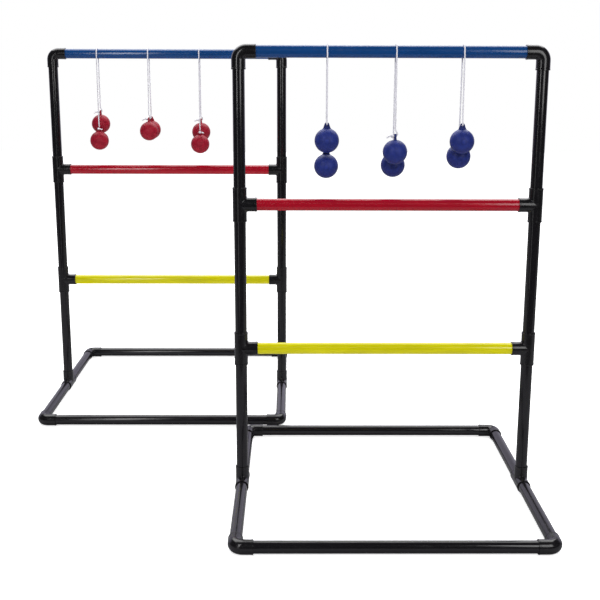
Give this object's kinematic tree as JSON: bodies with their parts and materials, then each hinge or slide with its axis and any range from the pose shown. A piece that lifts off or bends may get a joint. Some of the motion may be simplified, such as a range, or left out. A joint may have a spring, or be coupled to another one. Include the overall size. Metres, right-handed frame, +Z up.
{
  "type": "ladder toss set",
  "caption": "Lawn ladder toss set: black pipe ladders on rectangular bases with blue, red and yellow rungs, and bolas of cord and rubber balls draped over the top rungs.",
  "frame": {"origin": "on the ground, at the centre of the footprint of the two ladders as they stand at rest", "axes": "+Z up; +X to the right along the rungs; +Y from the near ladder (blue balls) to the far ladder (red balls)"},
  "size_m": [1.2578, 1.4768, 1.0173],
  "materials": {
    "black_pipe": "extruded black plastic pipe with a soft gloss",
    "black_fitting": "moulded black plastic fitting, slightly duller than the pipe",
    "blue_pipe": "blue plastic pipe with a soft gloss",
    "red_pipe": "red plastic pipe with a soft gloss",
    "yellow_pipe": "yellow plastic pipe with a soft gloss",
    "blue_rubber": "matt blue rubber with a fine moulded texture",
    "red_rubber": "matt red rubber with a fine moulded texture",
    "white_cord": "white braided cord"
  },
  "bodies": {
    "near_base": {"near_base_front_tube": "black_pipe", "near_base_back_tube": "black_pipe", "near_base_left_front_rail": "black_pipe", "near_base_left_back_rail": "black_pipe", "near_base_right_front_rail": "black_pipe", "near_base_right_back_rail": "black_pipe", "near_base_left_tee": "black_fitting", "near_base_right_tee": "black_fitting"},
    "near_panel": {"near_left_lower_upright": "black_pipe", "near_left_yellow_tee": "black_fitting", "near_left_middle_upright": "black_pipe", "near_left_red_tee": "black_fitting", "near_left_upper_upright": "black_pipe", "near_right_lower_upright": "black_pipe", "near_right_yellow_tee": "black_fitting", "near_right_middle_upright": "black_pipe", "near_right_red_tee": "black_fitting", "near_right_upper_upright": "black_pipe", "near_yellow_rung": "yellow_pipe", "near_red_rung": "red_pipe", "near_blue_rung": "blue_pipe"},
    "far_base": {"far_base_front_tube": "black_pipe", "far_base_back_tube": "black_pipe", "far_base_left_front_rail": "black_pipe", "far_base_left_back_rail": "black_pipe", "far_base_right_front_rail": "black_pipe", "far_base_right_back_rail": "black_pipe", "far_base_left_tee": "black_fitting", "far_base_right_tee": "black_fitting"},
    "far_panel": {"far_left_lower_upright": "black_pipe", "far_left_yellow_tee": "black_fitting", "far_left_middle_upright": "black_pipe", "far_left_red_tee": "black_fitting", "far_left_upper_upright": "black_pipe", "far_right_lower_upright": "black_pipe", "far_right_yellow_tee": "black_fitting", "far_right_middle_upright": "black_pipe", "far_right_red_tee": "black_fitting", "far_right_upper_upright": "black_pipe", "far_yellow_rung": "yellow_pipe", "far_red_rung": "red_pipe", "far_blue_rung": "blue_pipe"},
    "near_left_cord": {"near_left_cord": "white_cord"},
    "near_left_front_ball": {"near_left_front_ball": "blue_rubber"},
    "near_left_back_ball": {"near_left_back_ball": "blue_rubber"},
    "near_middle_cord": {"near_middle_cord": "white_cord"},
    "near_middle_front_ball": {"near_middle_front_ball": "blue_rubber"},
    "near_middle_back_ball": {"near_middle_back_ball": "blue_rubber"},
    "near_right_cord": {"near_right_cord": "white_cord"},
    "near_right_front_ball": {"near_right_front_ball": "blue_rubber"},
    "near_right_back_ball": {"near_right_back_ball": "blue_rubber"},
    "far_left_cord": {"far_left_cord": "white_cord"},
    "far_left_front_ball": {"far_left_front_ball": "red_rubber"},
    "far_left_back_ball": {"far_left_back_ball": "red_rubber"},
    "far_middle_cord": {"far_middle_cord": "white_cord"},
    "far_middle_front_ball": {"far_middle_front_ball": "red_rubber"},
    "far_middle_back_ball": {"far_middle_back_ball": "red_rubber"},
    "far_right_cord": {"far_right_cord": "white_cord"},
    "far_right_front_ball": {"far_right_front_ball": "red_rubber"},
    "far_right_back_ball": {"far_right_back_ball": "red_rubber"}
  },
  "joints": [
    {"name": "far_ladder_set_back", "type": "slide", "parent": "near_base", "child": "far_base", "axis": [0, 1, 0], "range_m": [0, 3.808]},
    {"name": "near_panel_lift", "type": "slide", "parent": "near_base", "child": "near_panel", "axis": [0, 0, 1], "range_m": [0, 0.08]},
    {"name": "far_panel_lift", "type": "slide", "parent": "far_base", "child": "far_panel", "axis": [0, 0, 1], "range_m": [0, 0.08]},
    {"name": "near_left_bola_swing", "type": "hinge", "parent": "near_panel", "child": "near_left_cord", "pos_m": [0.1485, -0.382, 0.99942], "axis": [1, 0, 0], "range_deg": [-70, 70]},
    {"name": "near_left_front_ball_rock", "type": "hinge", "parent": "near_left_cord", "child": "near_left_front_ball", "pos_m": [0.1485, -0.39765, 0.84552], "axis": [0, 1, 0], "range_deg": [-45, 45]},
    {"name": "near_left_back_ball_rock", "type": "hinge", "parent": "near_left_cord", "child": "near_left_back_ball", "pos_m": [0.1485, -0.36635, 0.78752], "axis": [0, 1, 0], "range_deg": [-45, 45]},
    {"name": "near_middle_bola_swing", "type": "hinge", "parent": "near_panel", "child": "near_middle_cord", "pos_m": [0.2965, -0.382, 0.99942], "axis": [1, 0, 0], "range_deg": [-70, 70]},
    {"name": "near_middle_front_ball_rock", "type": "hinge", "parent": "near_middle_cord", "child": "near_middle_front_ball", "pos_m": [0.2965, -0.40272, 0.82151], "axis": [1, 0, 0], "range_deg": [-45, 0]},
    {"name": "near_middle_back_ball_rock", "type": "hinge", "parent": "near_middle_cord", "child": "near_middle_back_ball", "pos_m": [0.2965, -0.36116, 0.78951], "axis": [0, 0.9997, 0.0247], "range_deg": [-45, 45]},
    {"name": "near_right_bola_swing", "type": "hinge", "parent": "near_panel", "child": "near_right_cord", "pos_m": [0.4415, -0.382, 0.99942], "axis": [1, 0, 0], "range_deg": [-70, 70]},
    {"name": "near_right_front_ball_rock", "type": "hinge", "parent": "near_right_cord", "child": "near_right_front_ball", "pos_m": [0.4415, -0.40144, 0.84451], "axis": [0, 0.9997, -0.0245], "range_deg": [-45, 45]},
    {"name": "near_right_back_ball_rock", "type": "hinge", "parent": "near_right_cord", "child": "near_right_back_ball", "pos_m": [0.4415, -0.36242, 0.80901], "axis": [0, 0.9998, 0.0206], "range_deg": [-45, 45]},
    {"name": "far_left_bola_swing", "type": "hinge", "parent": "far_panel", "child": "far_left_cord", "pos_m": [-0.4855, 0.382, 0.99942], "axis": [1, 0, 0], "range_deg": [-70, 70]},
    {"name": "far_left_front_ball_rock", "type": "hinge", "parent": "far_left_cord", "child": "far_left_front_ball", "pos_m": [-0.4855, 0.36542, 0.78852], "axis": [0, 1, -0.0044], "range_deg": [-45, 45]},
    {"name": "far_left_back_ball_rock", "type": "hinge", "parent": "far_left_cord", "child": "far_left_back_ball", "pos_m": [-0.4855, 0.39855, 0.83452], "axis": [1, 0, 0], "range_deg": [0, 45]},
    {"name": "far_middle_bola_swing", "type": "hinge", "parent": "far_panel", "child": "far_middle_cord", "pos_m": [-0.3395, 0.382, 0.99942], "axis": [1, 0, 0], "range_deg": [-70, 70]},
    {"name": "far_middle_front_ball_rock", "type": "hinge", "parent": "far_middle_cord", "child": "far_middle_front_ball", "pos_m": [-0.3395, 0.35682, 0.81647], "axis": [1, 0, 0], "range_deg": [-45, 0]},
    {"name": "far_middle_back_ball_rock", "type": "hinge", "parent": "far_middle_cord", "child": "far_middle_back_ball", "pos_m": [-0.3395, 0.40717, 0.81747], "axis": [0, 0.9986, 0.0521], "range_deg": [-45, 45]},
    {"name": "far_right_bola_swing", "type": "hinge", "parent": "far_panel", "child": "far_right_cord", "pos_m": [-0.1935, 0.382, 0.99942], "axis": [1, 0, 0], "range_deg": [-70, 70]},
    {"name": "far_right_front_ball_rock", "type": "hinge", "parent": "far_right_cord", "child": "far_right_front_ball", "pos_m": [-0.1935, 0.36112, 0.77951], "axis": [0, 0.9997, -0.0238], "range_deg": [-45, 45]},
    {"name": "far_right_back_ball_rock", "type": "hinge", "parent": "far_right_cord", "child": "far_right_back_ball", "pos_m": [-0.1935, 0.40276, 0.81151], "axis": [1, 0, 0], "range_deg": [0, 45]}
  ]
}
